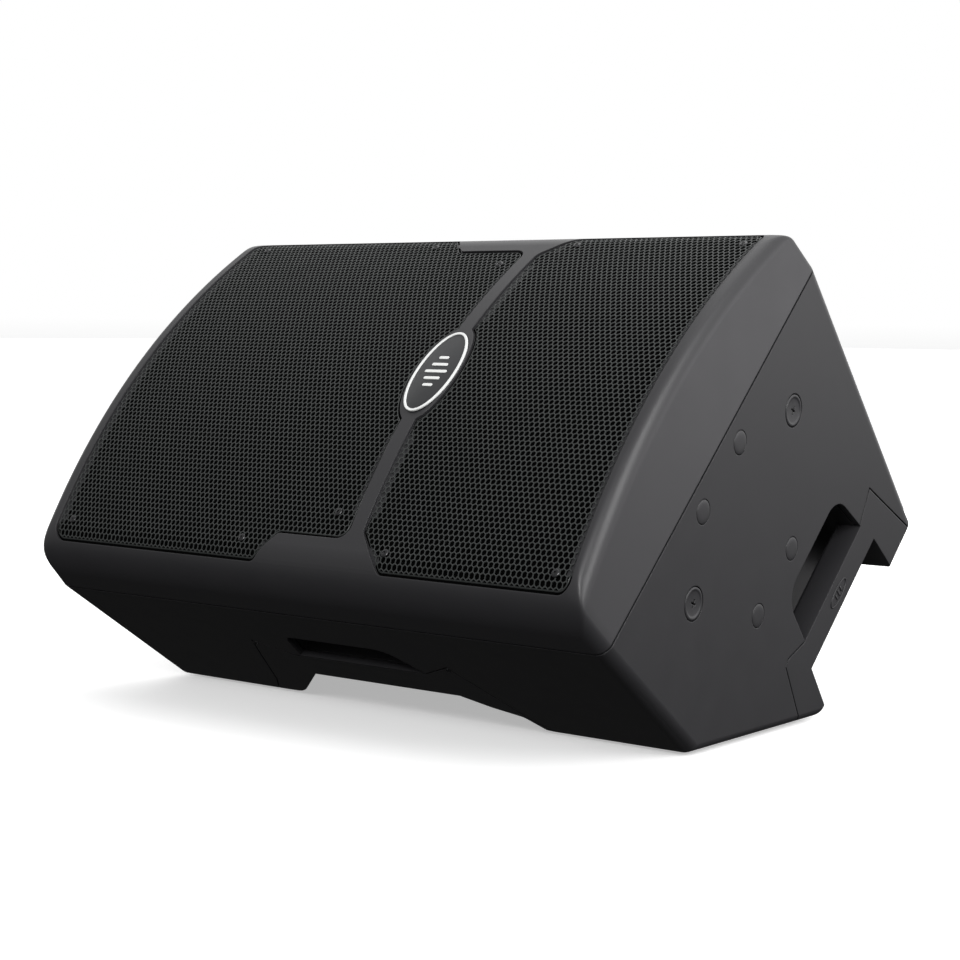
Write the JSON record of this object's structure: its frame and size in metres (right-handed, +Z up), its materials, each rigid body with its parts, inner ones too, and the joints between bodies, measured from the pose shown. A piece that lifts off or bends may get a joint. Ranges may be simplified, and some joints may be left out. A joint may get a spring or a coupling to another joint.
{
  "type": "stage monitor wedge",
  "caption": "Two-way powered stage loudspeaker in a moulded cabinet lying on its slanted side, with steel grilles, handles and a rear amplifier panel.",
  "frame": {"origin": "middle of the cabinet's footprint on the floor, the cabinet lying as a wedge", "axes": "+X along the cabinet towards the horn end, +Y away from the listener's side, +Z up; the grilles face -Y and up"},
  "size_m": [0.691, 0.5882, 0.4599],
  "materials": {
    "cabinet_plastic": "fine moulded texture, charcoal",
    "grille_steel": "black powder coat on perforated steel",
    "foam": "black acoustic foam",
    "badge_silver": "silver and black",
    "cast_frame": "black painted cast frame",
    "zinc": "zinc plated steel",
    "ferrite": "dark sintered ferrite",
    "paper": "black pulp cone",
    "treated_cloth": "resin treated cloth",
    "copper": "copper winding under clear film",
    "horn_plastic": "black moulded plastic",
    "panel_metal": "black painted aluminium panel",
    "heat_sink": "black anodised aluminium",
    "board": "green circuit board",
    "connector": "black connector plastic",
    "latch_red": "red latch tab",
    "knob": "black knob with white pointer",
    "display": "blue display window",
    "rubber": "black rubber",
    "black_screw": "black oxide steel",
    "wire": "insulated wire"
  },
  "bodies": {
    "cabinet": {"amp_board": "board", "amp_panel": "panel_metal", "badge": "badge_silver", "bottom_foot_1": "rubber", "bottom_foot_2": "rubber", "bottom_foot_3": "rubber", "bottom_foot_4": "rubber", "cabinet_body": "cabinet_plastic", "display_window": "display", "driver_front_plate": "zinc", "driver_magnet": "ferrite", "driver_rear_cap": "connector", "floor_foot_1": "rubber", "floor_foot_2": "rubber", "floor_foot_3": "rubber", "floor_foot_4": "rubber", "front_baffle": "cabinet_plastic", "heat_sink": "heat_sink", "horn_flare": "horn_plastic", "horn_grille": "grille_steel", "horn_grille_foam": "foam", "horn_lead": "wire", "input_jack_1": "connector", "input_jack_2": "connector", "link_jack": "connector", "mains_inlet": "connector", "pole_socket": "connector", "port_tube_high": "horn_plastic", "port_tube_low": "horn_plastic", "power_transformer": "copper", "rear_housing": "cabinet_plastic", "rigging_bolt_1": "black_screw", "rigging_bolt_2": "black_screw", "seam_gasket": "rubber", "switch_bezel": "connector", "top_plug_1": "cabinet_plastic", "top_plug_2": "cabinet_plastic", "top_plug_3": "cabinet_plastic", "top_plug_4": "cabinet_plastic", "woofer_back_plate": "zinc", "woofer_basket": "cast_frame", "woofer_grille": "grille_steel", "woofer_grille_foam": "foam", "woofer_lead": "wire", "woofer_magnet": "ferrite", "woofer_spider": "treated_cloth", "woofer_surround": "treated_cloth", "woofer_top_plate": "zinc"},
    "cone": {"woofer_cone": "paper", "woofer_dust_cap": "paper", "woofer_voice_coil": "copper"},
    "latch_1": {"jack_latch_1": "latch_red"},
    "latch_2": {"jack_latch_2": "latch_red"},
    "rocker": {"switch_rocker": "knob"},
    "gain_1": {"gain_knob_1": "knob"},
    "gain_2": {"gain_knob_2": "knob"},
    "encoder_stem": {"encoder_shaft": "zinc"},
    "encoder_dial": {"encoder_knob": "knob"},
    "button_1": {"mode_button_1": "knob"},
    "button_2": {"mode_button_2": "knob"}
  },
  "joints": [
    {"name": "cone_travel", "type": "slide", "parent": "cabinet", "child": "cone", "axis": [0, -0.7193, 0.6947], "range_m": [-0.005, 0.005], "stiffness_N_per_m": 4000, "deforming": ["woofer_surround", "woofer_spider"]},
    {"name": "latch_1_press", "type": "slide", "parent": "cabinet", "child": "latch_1", "axis": [0, -0.7193, 0.6947], "range_m": [0, 0.002], "stiffness_N_per_m": 600, "springref_m": -0.0015},
    {"name": "latch_2_press", "type": "slide", "parent": "cabinet", "child": "latch_2", "axis": [0, -0.7193, 0.6947], "range_m": [0, 0.002], "stiffness_N_per_m": 600, "springref_m": -0.0015},
    {"name": "power_rock", "type": "hinge", "parent": "cabinet", "child": "rocker", "pos_m": [-0.195, 0.22188, 0.14175], "axis": [0, -0.6947, -0.7193], "range_deg": [-20, 0]},
    {"name": "gain_1_turn", "type": "hinge", "parent": "cabinet", "child": "gain_1", "pos_m": [-0.068, 0.15737, 0.06919], "axis": [0, -0.7193, 0.6947], "range_deg": [-150, 150]},
    {"name": "gain_2_turn", "type": "hinge", "parent": "cabinet", "child": "gain_2", "pos_m": [-0.068, 0.19072, 0.10372], "axis": [0, -0.7193, 0.6947], "range_deg": [-150, 150]},
    {"name": "encoder_press", "type": "slide", "parent": "cabinet", "child": "encoder_stem", "axis": [0, -0.7193, 0.6947], "range_m": [0, 0.0008], "stiffness_N_per_m": 1500, "springref_m": -0.001},
    {"name": "encoder_turn", "type": "hinge", "parent": "encoder_stem", "child": "encoder_dial", "pos_m": [-0.008, 0.22545, 0.13969], "axis": [0, -0.7193, 0.6947], "continuous": true},
    {"name": "button_1_press", "type": "slide", "parent": "cabinet", "child": "button_1", "axis": [0, -0.7193, 0.6947], "range_m": [0, 0.0012], "stiffness_N_per_m": 500, "springref_m": -0.0015},
    {"name": "button_2_press", "type": "slide", "parent": "cabinet", "child": "button_2", "axis": [0, -0.7193, 0.6947], "range_m": [0, 0.0012], "stiffness_N_per_m": 500, "springref_m": -0.0015}
  ]
}
